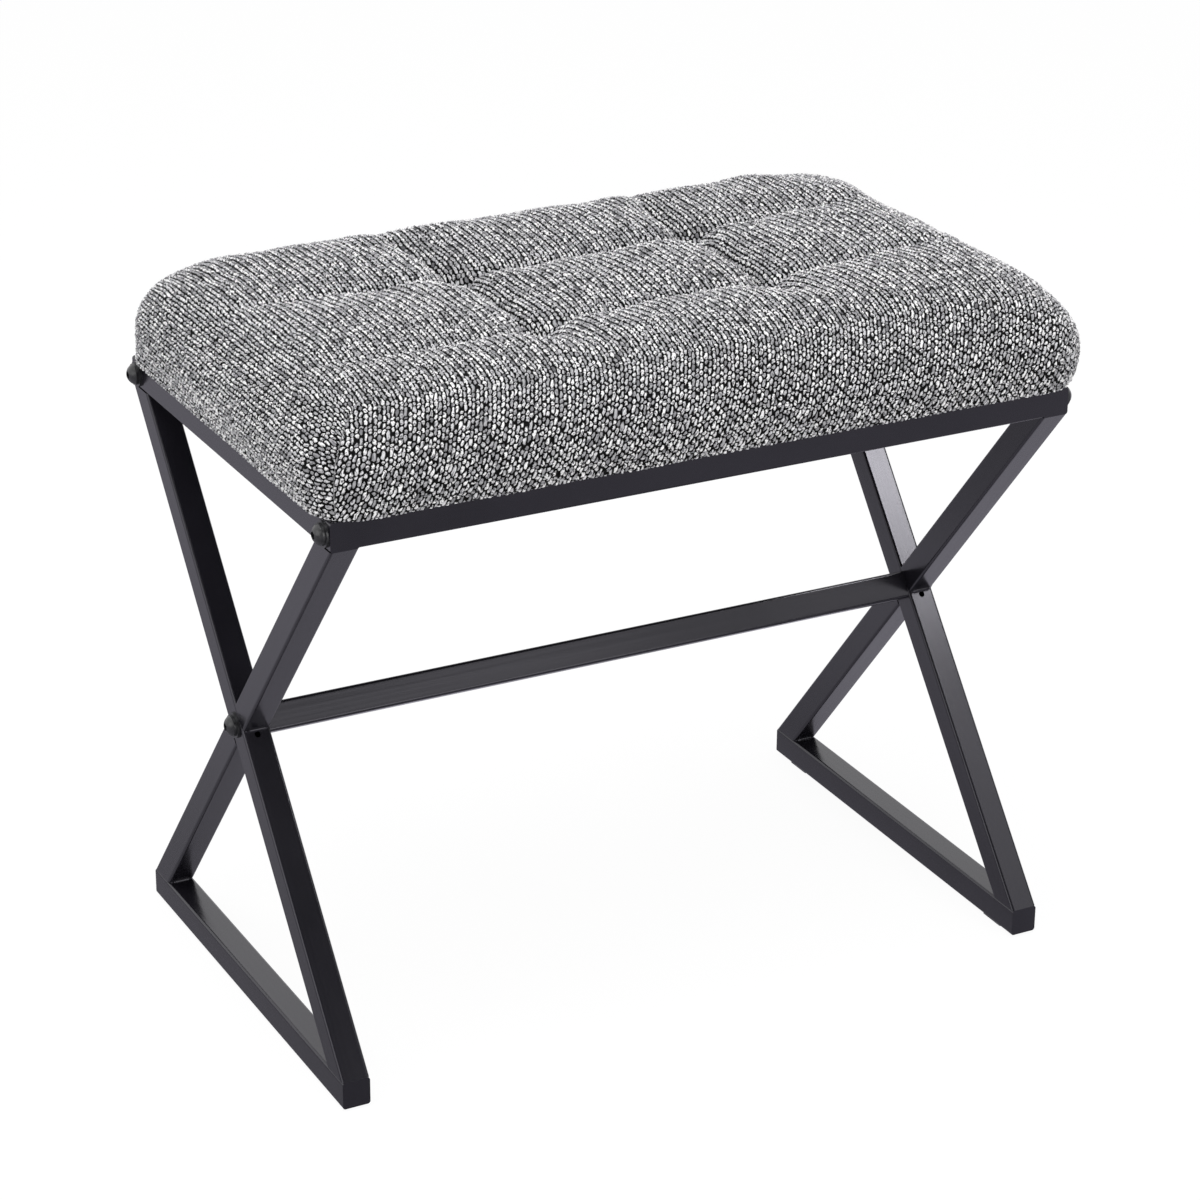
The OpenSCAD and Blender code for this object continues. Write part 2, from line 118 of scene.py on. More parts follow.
# The two across it are the deeper ones. Behind their tufts they lean, and in front of
# them they curl to the right and end
CROSS_DEPTH, CROSS_BOW, CROSS_HALF = 17 * MM, 3 * MM, 59 * MM
CROSS_SKEWS = (-0.11, 0.03)
CROSS_FRONT, CROSS_CURL, CROSS_FRONT_POWER = 55 * MM, 18 * MM, 1.2
CROSS_BACK_POWERS = (1.5, 0.8)

# Pits at the tufts, and the narrow folds at the bottom of seams and pits
PIT_DEPTH, PIT_W, PIT_POWER, PIT_SEAM_SHARE = 14 * MM, 15 * MM, 1.3, 0.7
FOLD_SHARE, FOLD_W = 0.35, 2.2 * MM
PIT_FOLD, PIT_FOLD_W = 3.5 * MM, 4 * MM

# Swelling: where the cover is held, and the cloth simulation
HOLD_START, HOLD_FADE, HOLD_LEVELS = 3 * MM, 10 * MM, 10
GRIP, GRIP_W, GRIP_FULL_DEPTH, PIT_GRIP_W = 0.9, 4 * MM, 9 * MM, 6 * MM
PRESSURE, STIFFNESS, SIM_QUALITY = 4.0, 20, 5
SIM_FRAMES = 20
SWELL_CAP = 10 * MM

# How the flat cloth lies on the cushion
ARC_STEPS = 200
LEAST_RISE = 1e-6
SLACK_SHARE, SLACK_NEAR, SLACK_FAR = 0.45, 7 * MM, 35 * MM
FRONT_SKEW, FRONT_SKEW_START = 0.36, 0.6

# Unevenness, as the size of its features, a seed and its amount
UNEVEN_U = [(26 * MM, 11, 0.30 * MM), (6 * MM, 12, 0.20 * MM)]
UNEVEN_V = [(8 * MM, 13, 0.9 * MM)]
COVER_SWELL = [(60 * MM, 3, 0.7 * MM)]
DUST_FOLDS, DUST_WAVES = [(34 * MM, 21, 0.45 * MM)], [(60 * MM, 22, 0.4 * MM)]

# Weave: in each rib a proud and a low strand of knots. The knots' shape goes from the values
# of the sides to those of the top, and the low strand lies lower there, but not near the ends
RIB_PITCH = 5.85 * MM
PROUD_SHARE = 0.52
KNOT_PITCH = 4.7 * MM
KNOT_STEP = 0.5
KNOT_JITTER, KNOT_PHASE = 0.10, 13.0
KNOT_H = 1.8 * MM
KNOT_ACROSS_SIDE, KNOT_ACROSS_TOP = 1.40, 1.60
KNOT_ALONG_SIDE, KNOT_ALONG_TOP = 1.50, 1.05
KNOT_SQUARE = 0.3
KNOT_DRIFT = [(0.35 * MM, 11 * MM, 44.0), (0.20 * MM, 6.7 * MM, 82.0)]
LOW_SHIFT = 0.08
LOW_H_SIDE, LOW_H_TOP = 0.80, 0.50
WEAVE_TOP_START, WEAVE_TOP_FADE = 50 * MM, 18 * MM
WEAVE_END_X, WEAVE_END_FADE = 268 * MM, 30 * MM

# Yarn: how far and how finely it frays, its curls, its fluff, how much of the low strands'
# own grey shows on the sides, and how much more grey is painted on the top as shade
FRAY, FRAY_SCALE = 2.0 * MM, 620
CURL_SCALE, CURL_RELIEF = 700, 0.25
FLUFF_SCALE, FLUFF_RELIEF = 1500, 0.35
GREYED_SIDE, TOP_PAINTED_SHADE_GREYING = 0.45, 0.55

# Colours of the proud and of the low strands' knots, by a chance from 0 to 1, and the
# painted shade between the curls of each
PALE_YARN = [(0.0, (0.48, 0.475, 0.495)), (0.20, (0.74, 0.735, 0.76)), (0.45, (1.0, 0.99, 1.0))]
GREY_YARN = [(0.0, (0.12, 0.12, 0.13)), (0.07, (0.42, 0.42, 0.435)),
             (0.40, (0.64, 0.635, 0.66)), (0.84, (1.0, 0.99, 1.0))]
PALE_SHADE, GREY_SHADE = (0.22, 0.22, 0.235, 1), (0.25, 0.25, 0.26, 1)

# Dust cloth
DUST_FLAT = (544 * MM, 334 * MM)
DUST_CELLS = (136, 84)
DUST_R = 21 * MM
DUST_T, DUST_LIFT = 0.35 * MM, 0.3 * MM
DUST_SAG = 2.0 * MM
FOLD_STRETCH = 0.35
SCREW_HOLE_R = 3.4 * MM
SCREW_HEAD_R = 5.25 * MM

# Weld beads
WELD_R, WELD_L = 1.9 * MM, 17 * MM
WELD_SIDES, WELD_STEPS = 12, 18
WELD_END = 0.02
WELD_RIPPLE, WELD_PACE, WELD_TURN = 0.09, 2.6, 0.7

# The floor to the camera, and in gloss: its tint, and its brightness at places across and
# from front to back
FLOOR_SIZE, FLOOR_GLOW, FLOOR_GLOW_SHARE = 14, 1.05, 0.90
GLOSS_TINT = (0.90, 0.87, 1.0, 1)
GLOSS_ACROSS = [(-0.60, 0.60), (-0.30, 0.30), (0.0, 0.70), (0.22, 0.42), (0.35, 0.85)]
GLOSS_DEEP = [(-0.9, 0.72), (-0.4, 0.35), (-0.2, 0.80), (0.0, 1.0)]

# The world's even light, and its brightness in gloss in front and behind, with the pace
# and the middle of the change between them
WORLD_LIGHT = 0.42
WORLD_GLOSS_FRONT, WORLD_GLOSS_BACK = 0.10, 1.35
WORLD_EDGE_PACE, WORLD_EDGE_MID = 2.4, 0.6

# Lamps: name, place, what it is aimed at, size, watts and whether only gloss shows it
LAMPS = [
    ("overhead", (-0.3, -0.2, 2.5), (0, 0, 0.45), (1.8, 1.8), 35, False),
    ("left_side", (-2.0, -0.6, 1.0), (0, 0, 0.35), (1.4, 1.4), 11, False),
    ("front_fill", (0.6, -2.2, 0.9), (0, 0, 0.35), (1.2, 1.2), 13, False),
    ("right_strip", (1.00, -0.66, 1.48), (0.265, 0.05, 0.3), (0.30, 0.55), 9, True),
    ("low_strip", (1.03, -1.00, 1.10), (0.265, -0.05, 0.15), (0.5, 0.55), 1.3, True),
]

# The camera that took the photograph, worked out from the frame's corners in it, with
# its turns in degrees
CAMERA_LENS, CAMERA_SENSOR, CAMERA_SEES = 109.98, 36, 50
CAMERA_PLACE = (-1.1035, -2.1000, 1.2975)
CAMERA_TURN, CAMERA_DOWN, CAMERA_ROLL = -27.81, 23.79, 0.54


def clear_selection():
    if bpy.context.mode != "OBJECT":
        bpy.ops.object.mode_set(mode="OBJECT")
    bpy.ops.object.select_all(action="DESELECT")


def make_active(piece):
    clear_selection()
    piece.select_set(True)
    bpy.context.view_layer.objects.active = piece


def apply_modifier(piece, name, kind, **settings):
    make_active(piece)
    made = piece.modifiers.new(name, kind)
    for key, value in settings.items():
        setattr(made, key, value)
    bpy.ops.object.modifier_apply(modifier=made.name)


def settle(piece):
    """Puts a piece's place and size into its mesh"""
    make_active(piece)
    bpy.ops.object.transform_apply(location=True, rotation=True, scale=True)


def points_of(piece):
    flat = np.empty(len(piece.data.vertices) * 3)
    piece.data.vertices.foreach_get("co", flat)
    return flat.reshape(-1, 3)


def move_points(piece, points):
    piece.data.vertices.foreach_set("co", np.ascontiguousarray(points).ravel())
    piece.data.update()


def normals_of(piece):
    flat = np.empty(len(piece.data.vertices) * 3)
    piece.data.vertices.foreach_get("normal", flat)
    return flat.reshape(-1, 3)


# Smooth seeded noise

def wander(x, y, size, seed):
    """Smooth noise about 0 and within about 1, over a plane, with features of one size"""
    draw = np.random.default_rng(seed)
    total = np.zeros_like(x)
    for _ in range(NOISE_WAVES):
        turn = draw.uniform(0, 2 * math.pi)
        pace = 2 * math.pi / (size * draw.uniform(0.7, 1.6))
        start = draw.uniform(0, 2 * math.pi)
        total += np.sin((x * math.cos(turn) + y * math.sin(turn)) * pace + start)
    return total / math.sqrt(NOISE_WAVES)


def uneven(x, y, layers):
    return sum(wander(x, y, size, seed) * amount for size, seed, amount in layers)


# Seat cushion

def ring_spots(arc=10, long_side=24, end_side=14):
    """Places round a rounded rectangle: a share of its core, and the way out from there"""
    spots = []
    signs = [(1, 1), (-1, 1), (-1, -1), (1, -1)]
    for k, (sx, sy) in enumerate(signs):
        start = k * math.pi / 2
        for step in range(arc + 1):
            turn = start + step / arc * math.pi / 2
            spots.append((sx, sy, math.cos(turn), math.sin(turn)))
        nx, ny = signs[(k + 1) % 4]
        count = long_side if sx != nx else end_side
        way = spots[-1][2:]
        for step in range(1, count):
            share = step / count
            spots.append((sx + (nx - sx) * share, sy + (ny - sy) * share, *way))
    return np.array(spots)


def place_ring(spots, a, b, round_r, height, mid=(0, 0), pull=0.0):
    """One level of the seat's form; pull draws the middles of its sides in"""
    core = np.array([a - round_r, b - round_r])
    flat = spots[:, :2] * core + spots[:, 2:] * round_r
    flat[:, 1] -= np.sign(flat[:, 1]) * pull * PULL_LONG * (1 - spots[:, 0] ** 2)
    flat[:, 0] -= np.sign(flat[:, 0]) * pull * PULL_END * (1 - spots[:, 1] ** 2)
    skew = np.where(flat[:, 0] > 0, SKEW_RIGHT, SKEW_LEFT) * np.clip(np.abs(flat[:, 0]) / a, 0, 1)
    flat[:, 0] += pull * skew * flat[:, 1] / SEAT_B
    ring = np.empty((len(spots), 3))
    ring[:, :2] = flat + np.array(mid)
    ring[:, 2] = SEAT_Z + height
    return ring


def stack_rings(name, rings):
    """Extrudes a closed ring through the places it is given, and caps both ends"""
    clear_selection()
    bpy.ops.mesh.primitive_circle_add(vertices=len(rings[0]), radius=0.1, fill_type="NOTHING")
    piece = bpy.context.object
    piece.name = name
    for k, ring in enumerate(rings):
        if k:
            bpy.ops.object.mode_set(mode="EDIT")
            bpy.ops.mesh.extrude_edges_move()
            bpy.ops.object.mode_set(mode="OBJECT")
        points = points_of(piece)
        points[-len(ring):] = ring
        move_points(piece, points)
    bpy.ops.object.mode_set(mode="EDIT")
    bpy.ops.mesh.select_mode(type="EDGE")
    for _ in range(2):
        bpy.ops.mesh.edge_face_add()
        bpy.ops.mesh.select_all(action="DESELECT")
        bpy.ops.mesh.select_non_manifold()
    bpy.ops.mesh.select_all(action="SELECT")
    bpy.ops.mesh.normals_make_consistent(inside=False)
    bpy.ops.object.mode_set(mode="OBJECT")
    return piece


def seat_block():
    """The seat's form: from the board's outline out to its belly, then rolled over the top"""
    spots = ring_spots()
    board = (BOARD_HIGH.x + RIM_GAP, BOARD_HIGH.y + RIM_GAP, BOARD_R)
    rings = [place_ring(spots, *board, -RIM_DROP), place_ring(spots, *board, 0)]
    for step in range(1, BELLY_STEPS + 1):
        height = BELLY_H * step / BELLY_STEPS
        out = math.sqrt(1 - (1 - height / BELLY_H) ** 2)
        a, b, r = (low + (high - low) * out
                   for low, high in zip(board, (SEAT_A, SEAT_B, CORNER_R)))
        ring = place_ring(spots, a, b, r, height, mid=np.array(SEAT_MID) * out, pull=out)
        sag = EDGE_SAG * (
            EDGE_SAG_MEAN + wander(ring[:, 0], ring[:, 1], EDGE_SAG_SIZE, seed=31))
        ring[:, 2] -= sag * (1 - height / BELLY_H) * min(1, 2 * out)
        rings.append(ring)
    drift = Vector((ROLL_LEFT - ROLL_RIGHT, ROLL_FRONT - ROLL_BACK)) / 2
    for step in range(1, ROLL_STEPS + 1):
        turn = math.pi / 2 * step / ROLL_STEPS
        inset, rise = 1 - math.cos(turn), math.sin(turn)
        rings.append(place_ring(
            spots, SEAT_A - (ROLL_LEFT + ROLL_RIGHT) / 2 * inset,
            SEAT_B - (ROLL_FRONT + ROLL_BACK) / 2 * inset,
            CORNER_R + (CORNER_TOP_R - CORNER_R) * inset, BELLY_H + ROLL_H * rise,
            mid=SEAT_MID + drift * inset, pull=1 - inset))
    block = stack_rings("seat_cushion", rings)
    apply_modifier(block, "even_mesh", "REMESH", mode="VOXEL", voxel_size=VOXEL)
    return block


def way_out(points):
    """The way out to each plan position from the nearest place on the seat's core"""
    flat = points[:, :2] - np.array(SEAT_MID)
    core = np.array([SEAT_A - CORNER_R, SEAT_B - CORNER_R])
    return flat - np.clip(flat, -core, core)


def crease_lines(x, y):
    """Distances to the seams of the top and how deep each lies there, in metres"""
    (left, left_back), (_, left_front), (right, right_back), (_, right_front) = TUFTS
    share = np.clip((x - left) / (right - left), *LONG_REACH)
    back = left_back + (right_back - left_back) * share
    front = left_front + (right_front - left_front) * share
    bow = np.sin(np.clip(share, 0, 1) * math.pi) * LONG_BOW
    shallow_l = SEAT_A - SEAM_REST - LONG_FULL
    reach = np.clip((np.abs(x - SEAT_MID.x) - LONG_FULL) / shallow_l, 0, 1)
    depth = LONG_DEPTH * (1 - LONG_LOSS * reach ** LONG_POWER)
    lines = [(y - back + bow, depth),
             (y - front - bow * FRONT_BOW_SHARE, depth * FRONT_DEPTH_SHARE)]
    for tuft_x, back_y, front_y, skew in [
            (left, left_back, left_front, CROSS_SKEWS[0]),
            (right, right_back, right_front, CROSS_SKEWS[1])]:
        past_front = np.clip((front_y - y) / CROSS_FRONT, 0, 1)
        past_back = np.clip((y - back_y) / (SEAT_B - SEAM_REST - back_y), 0, 1)
        between = np.clip((y - front_y) * (back_y - y) / CROSS_HALF ** 2, 0, 1)
        seam_x = (tuft_x + skew * np.clip(y - back_y, 0, None)
                  + CROSS_CURL * past_front ** 2 + CROSS_BOW * between)
        power, outer_power = CROSS_BACK_POWERS
        depth = (CROSS_DEPTH * (1 - past_front) ** CROSS_FRONT_POWER
                 * (1 - past_back ** power) ** outer_power)
        lines.append((x - seam_x, depth))
    return lines


def valley(away, width):
    """A sharp valley with round shoulders: 1 in its middle, 0 past its width"""
    t = np.clip(1 - np.abs(away) / width, 0, 1)
    return 1 - np.sqrt(np.clip(1 - t * t, 0, 1))


def tuft_pits(x, y, width):
    """1 at each tuft, falling off round it over a width"""
    pits = np.zeros_like(x)
    for tuft_x, tuft_y in TUFTS:
        away = np.hypot(x - tuft_x, y - tuft_y)
        pits = np.maximum(pits, np.exp(-(away / width) ** PIT_POWER))
    return pits


def top_share(points):
    """1 on the flat of the top, falling to 0 down the sides"""
    return np.clip((points[:, 2] - SEAT_Z - TOP_START) / TOP_FADE, 0, 1)


def press_top(points):
    """Presses the seams and tufts into the top"""
    x, y = points[:, 0], points[:, 1]
    fall = np.zeros_like(x)
    for away, depth in crease_lines(x, y):
        fall = np.maximum(fall, depth * valley(away, SEAM_W))
    fall = np.maximum(fall, fall * PIT_SEAM_SHARE + PIT_DEPTH * tuft_pits(x, y, PIT_W))
    moved = points.copy()
    moved[:, 2] -= fall * top_share(points)
    return moved


def puff_up(cushion):
    """Lets pressure swell the cover between its seams, by cloth simulation"""
    start = points_of(cushion)
    x, y = start[:, 0], start[:, 1]
    hold = np.clip(1 - (start[:, 2] - SEAT_Z - HOLD_START) / HOLD_FADE, 0, 1)
    top = top_share(start)
    for away, depth in crease_lines(x, y):
        grip = np.clip(depth / GRIP_FULL_DEPTH, 0, 1) * np.exp(-(away / GRIP_W) ** 2)
        hold = np.maximum(hold, grip * top * GRIP)
    hold = np.maximum(hold, tuft_pits(x, y, PIT_GRIP_W) * top)
    pins = cushion.vertex_groups.new(name="seams")
    for level in range(1, HOLD_LEVELS + 1):
        chosen = np.flatnonzero(np.round(hold * HOLD_LEVELS) == level)
        if len(chosen):
            pins.add(chosen.tolist(), level / HOLD_LEVELS, "REPLACE")
    make_active(cushion)
    cloth = cushion.modifiers.new("swell", "CLOTH")
    cloth.settings.vertex_group_mass = "seams"
    cloth.settings.use_pressure = True
    cloth.settings.uniform_pressure_force = PRESSURE
    cloth.settings.effector_weights.gravity = 0
    cloth.settings.tension_stiffness = STIFFNESS
    cloth.settings.compression_stiffness = STIFFNESS
    cloth.settings.quality = SIM_QUALITY
    cloth.point_cache.frame_start = 1
    cloth.point_cache.frame_end = SIM_FRAMES
    for step in range(1, SIM_FRAMES + 1):
        bpy.context.scene.frame_set(step)
    bpy.ops.object.modifier_apply(modifier=cloth.name)
    cushion.vertex_groups.clear()
    shift = points_of(cushion) - start
    far = np.linalg.norm(shift, axis=1, keepdims=True)
    shift *= np.minimum(1, SWELL_CAP / np.maximum(far, TINY))
    move_points(cushion, start + shift)


def open_bottom(cushion):
    """Cuts the cushion off level with its hem"""
    make_active(cushion)
    bpy.ops.object.mode_set(mode="EDIT")
    bpy.ops.mesh.select_all(action="SELECT")
    bpy.ops.mesh.bisect(plane_co=(0, 0, HEM_Z), plane_no=(0, 0, 1), clear_inner=True)
    bpy.ops.object.mode_set(mode="OBJECT")


def sharpen_seams(points):
    """Narrow folds at the bottom of the seams, which the coarse mesh can't hold"""
    x, y = points[:, 0], points[:, 1]
    fall = np.zeros_like(x)
    for away, depth in crease_lines(x, y):
        fall = np.maximum(fall, depth * FOLD_SHARE * np.exp(-np.abs(away) / FOLD_W))
    fall = np.maximum(fall, PIT_FOLD * tuft_pits(x, y, PIT_FOLD_W))
    moved = points.copy()
    moved[:, 2] -= fall * top_share(points)
    return moved


def roll_length(rise, away, roll):
    """How far a place has turned over the edge, and the cloth's length from the flat top to it"""
    turn = np.arctan2(np.clip(away, 0, None) / roll,
                      np.clip(rise, 0, None) / ROLL_H + LEAST_RISE)
    steps = np.linspace(0, math.pi / 2, ARC_STEPS)
    length = np.empty_like(turn)
    for size in np.unique(roll):
        pace = np.hypot(size * np.cos(steps), ROLL_H * np.sin(steps))
        run = np.concatenate([[0], np.cumsum((pace[1:] + pace[:-1]) / 2 * np.diff(steps))])
        here = roll == size
        length[here] = np.interp(turn[here], steps, run)
    return turn / (math.pi / 2), length + np.clip(-rise, 0, None)


def seam_cloth(away, depth):
    """The extra cloth that a seam's slope takes near it, drawn from the slack further out"""
    taken = (1 - np.exp(-away / SLACK_NEAR)) * np.exp(-away / SLACK_FAR)
    return SLACK_SHARE * depth * np.sqrt(depth / CROSS_DEPTH) * taken


def weave_map(points):
    """Where each point of the cover lies on the flat cloth before it was wrapped, in metres.
    The cloth meets itself in a mitre at each corner."""
    out = np.abs(way_out(points))
    far = np.hypot(out[:, 0], out[:, 1])
    flat = points[:, :2] - np.array(SEAT_MID)
    side = np.sign(flat)
    flat = np.abs(flat)
    rise = points[:, 2] - SEAT_Z - BELLY_H
    roll_a = np.where(side[:, 0] > 0, ROLL_RIGHT, ROLL_LEFT)
    roll_b = np.where(side[:, 1] > 0, ROLL_BACK, ROLL_FRONT)
    flat_a, flat_b = SEAT_A - roll_a, SEAT_B - roll_b
    turn_a, down_a = roll_length(rise, flat[:, 0] - flat_a, roll_a)
    turn_b, down_b = roll_length(rise, flat[:, 1] - flat_b, roll_b)
    bend = np.arctan2(out[:, 0], out[:, 1] + TINY)
    on_long_u = flat[:, 0] + far * (bend - np.sin(bend)) * turn_b ** 2
    past_skew_start = np.clip(down_b - ROLL_FRONT * FRONT_SKEW_START, 0, None)
    on_long_u = on_long_u + side[:, 0] * FRONT_SKEW * past_skew_start * (side[:, 1] < 0)
    on_long_v = np.where(flat[:, 1] > flat_b, flat_b + down_b, flat[:, 1])
    back_bend = math.pi / 2 - bend
    on_end_v = flat[:, 1] + far * (back_bend - np.sin(back_bend)) * turn_a ** 2
    on_end_u = np.where(flat[:, 0] > flat_a, flat_a + down_a, flat[:, 0])
    ends = flat[:, 0] - SEAT_A > flat[:, 1] - SEAT_B
    u = side[:, 0] * np.where(ends, on_end_u, on_long_u)
    v = side[:, 1] * np.where(ends, on_end_v, on_long_v)
    for k, (away, depth) in enumerate(crease_lines(points[:, 0], points[:, 1])):
        extra = np.sign(away) * seam_cloth(np.abs(away), depth) * top_share(points)
        u, v = (u, v + extra) if k < 2 else (u + extra, v)
    u = u + uneven(u, v, UNEVEN_U)
    v = v + uneven(u, v, UNEVEN_V)
    return u, v


def knot_height(u, v, top, middle):
    """The weave's relief at a place on the flat cloth, from 0 between knots to 1"""
    across = u / RIB_PITCH
    rib = np.floor(across)
    share = across - rib
    low = share > PROUD_SHARE
    row = rib * 2 + low
    start = row * KNOT_STEP + KNOT_JITTER * np.sin(row * KNOT_PHASE)
    start = start - np.floor(start)
    drift = sum(size * np.sin(v * 2 * math.pi / length + start * phase)
                for size, length, phase in KNOT_DRIFT)
    along = (v + drift) / KNOT_PITCH + start
    du = np.where(low, (share - PROUD_SHARE) / (1 - PROUD_SHARE) + LOW_SHIFT / 2,
                  share / PROUD_SHARE) * 2 - 1
    dv = (along - np.floor(along)) * 2 - 1
    du, dv = du ** 2, dv ** 2
    across_pull = KNOT_ACROSS_SIDE + (KNOT_ACROSS_TOP - KNOT_ACROSS_SIDE) * top
    along_pull = KNOT_ALONG_SIDE + (KNOT_ALONG_TOP - KNOT_ALONG_SIDE) * top
    low_h = LOW_H_SIDE + (LOW_H_TOP - LOW_H_SIDE) * top * middle
    taken = du * across_pull + dv * along_pull + du * dv * KNOT_SQUARE
    return np.sqrt(np.clip(1 - taken, 0, 1)) * np.where(low, low_h, 1.0)


def lay_weave_map(cushion, u, v):
    """Keeps the flat-cloth places on the mesh, as its weave map in metres"""
    layer = cushion.data.uv_layers.new(name="weave")
    corner = np.empty(len(cushion.data.loops), int)
    cushion.data.loops.foreach_get("vertex_index", corner)
    layer.data.foreach_set("uv", np.stack([u[corner], v[corner]], 1).ravel())


def close_underside(cushion):
    """Carries the cover's lower edge under the board as a hem, and closes the padding"""
    make_active(cushion)
    bpy.ops.object.mode_set(mode="EDIT")
    bpy.ops.mesh.select_mode(type="EDGE")
    bpy.ops.mesh.select_all(action="DESELECT")
    bpy.ops.mesh.select_non_manifold()
    corner = np.array([SEAT_A, SEAT_B]) - CORNER_R
    board_a, board_b = BOARD_HIGH.x, BOARD_HIGH.y
    levels = [
        (board_a - HEM_W, board_b - HEM_W, HEM_Z),
        (board_a - HEM_W, board_b - HEM_W, BOARD_LOW.z),
        (board_a + SOFT_GAP, board_b + SOFT_GAP, BOARD_LOW.z),
        (board_a + SOFT_GAP, board_b + SOFT_GAP, BOARD_HIGH.z),
    ]
    for a, b, z in levels:
        bpy.ops.mesh.extrude_edges_move()
        bpy.ops.object.mode_set(mode="OBJECT")
        chosen = np.array([v.index for v in cushion.data.vertices if v.select])
        points = points_of(cushion)
        loop = points[chosen]
        near = np.clip(loop[:, :2] - np.array(SEAT_MID), -corner, corner)
        way = way_out(loop)
        way /= np.maximum(np.hypot(way[:, 0], way[:, 1]), TINY)[:, None]
        core = np.array([a - HEM_R, b - HEM_R])
        loop[:, :2] = near / corner * core + way * HEM_R
        loop[:, 2] = z
        points[chosen] = loop
        move_points(cushion, points)
        bpy.ops.object.mode_set(mode="EDIT")
    bpy.ops.mesh.edge_face_add()
    bpy.ops.mesh.select_all(action="SELECT")
    bpy.ops.mesh.normals_make_consistent(inside=False)
    bpy.ops.object.mode_set(mode="OBJECT")


def make_cushion():
    """The padded seat: pressed in, swollen, cut off at its hem, given its weave and closed"""
    cushion = seat_block()
    move_points(cushion, press_top(points_of(cushion)))
    puff_up(cushion)
    open_bottom(cushion)
    apply_modifier(cushion, "finer", "SUBSURF", levels=FINER_LEVELS, render_levels=FINER_LEVELS)
    points = sharpen_seams(points_of(cushion))
    swell = uneven(points[:, 0], points[:, 1], COVER_SWELL)
    move_points(cushion, points)
    u, v = weave_map(points)
    lay_weave_map(cushion, u, v)
    top = np.clip((points[:, 2] - SEAT_Z - WEAVE_TOP_START) / WEAVE_TOP_FADE, 0, 1)
    middle = np.clip((WEAVE_END_X - np.abs(points[:, 0] - SEAT_MID.x)) / WEAVE_END_FADE, 0, 1)
    relief = (knot_height(u, v, top, middle) * KNOT_H + swell * top_share(points))[:, None]
    raised = points + normals_of(cushion) * relief
    raised[:, 2] = np.maximum(raised[:, 2], HEM_Z)
    move_points(cushion, raised)
    close_underside(cushion)
    make_active(cushion)
    bpy.ops.object.shade_smooth()
    return cushion


# Dust cloth

def make_dust_cloth():
    """Thin cloth under the board, held on the rails and sagging a little between them"""
    clear_selection()
    width, length = DUST_FLAT
    bpy.ops.mesh.primitive_grid_add(
        x_subdivisions=DUST_CELLS[0], y_subdivisions=DUST_CELLS[1], size=1)
    cloth = bpy.context.object
    cloth.name = "dust_cloth_sheet"
    cloth.scale = (width, length, 1)
    settle(cloth)
    points = points_of(cloth)
    core = np.array([width, length]) / 2 - DUST_R
    near = np.clip(points[:, :2], -core, core)
    out = points[:, :2] - near
    far = np.maximum(np.hypot(*out.T), 1e-9)
    points[:, :2] = near + out * (np.abs(out).max(axis=1) / far)[:, None]
    x, y = points[:, 0], points[:, 1]
    inner = np.array([END_X - TUBE / 2, FRAME_HIGH.y - TUBE])
    loose = np.clip(1 - (x / inner[0]) ** 2, 0, 1) * np.clip(1 - (y / inner[1]) ** 2, 0, 1)
    folds = uneven(x * FOLD_STRETCH, y, DUST_FOLDS) + uneven(x, y, DUST_WAVES)
    points[:, 2] = SEAT_Z + DUST_LIFT - np.sqrt(loose) * (DUST_SAG + folds)
    move_points(cloth, points)
    apply_modifier(cloth, "thickness", "SOLIDIFY", thickness=DUST_T, offset=0)
    screw_x, screw_y = (value - SCREW_HEAD_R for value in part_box("seat_screws")[1][:2])
    for x, y in [(sx * screw_x, sy * screw_y) for sx in (-1, 1) for sy in (-1, 1)]:
        clear_selection()
        bpy.ops.mesh.primitive_cylinder_add(vertices=24, radius=SCREW_HOLE_R, depth=10 * MM,
                                            location=(x, y, SEAT_Z))
        punch = bpy.context.object
        apply_modifier(cloth, "hole", "BOOLEAN", operation="DIFFERENCE", object=punch)
        bpy.data.objects.remove(punch)
    make_active(cloth)
    bpy.ops.object.shade_smooth_by_angle(angle=math.radians(40))
    return cloth


# Welds

def weld_spots():
    """Places in a frame's plane where two tubes meet in a valley"""
    over, beside = TUBE / 2 / math.cos(LEG_ANGLE), TUBE / 2 / math.sin(LEG_ANGLE)
    spots = [(0, CROSS_Z + over), (0, CROSS_Z - over), (beside, CROSS_Z), (-beside, CROSS_Z)]
    low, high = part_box("left_bottom_bar")[1].z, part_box("left_top_bar")[0].z
    reach = (CROSS_Z - over - low) / math.tan(LEG_ANGLE)
    return spots + [(y, z) for y in (-reach, reach) for z in (low, high)]


def make_weld_beads(name, x):
    """Rippled weld beads along the valleys of one end frame"""
    round_spots = np.linspace(0, 2 * math.pi, WELD_SIDES, endpoint=False)
    rings = []
    for step in range(WELD_STEPS + 1):
        share = step / WELD_STEPS * 2 - 1
        ripple = 1 + WELD_RIPPLE * math.cos(step * WELD_PACE)
        radius = WELD_R * math.sqrt(max(1 - share ** 6, WELD_END)) * ripple
        rings.append(np.stack([np.full(WELD_SIDES, share * WELD_L / 2),
                               np.cos(round_spots) * radius, np.sin(round_spots) * radius], 1))
    bead = stack_rings(name, rings)
    for k, (y, z) in enumerate(weld_spots()):
        make_active(bead)
        bpy.ops.object.duplicate()
        copy = bpy.context.object
        copy.location = (x, y, z)
        copy.rotation_euler = (WELD_TURN * k, 0, math.pi * (k % 2))
    bpy.data.objects.remove(bead)
    copies = [o for o in bpy.data.objects if o.name.startswith(name)]
    clear_selection()
    for copy in copies:
        copy.select_set(True)
    bpy.context.view_layer.objects.active = copies[0]
    bpy.ops.object.join()
    beads = bpy.context.object
    beads.name = name
    settle(beads)
    bpy.ops.object.shade_smooth()
    return beads


# Materials

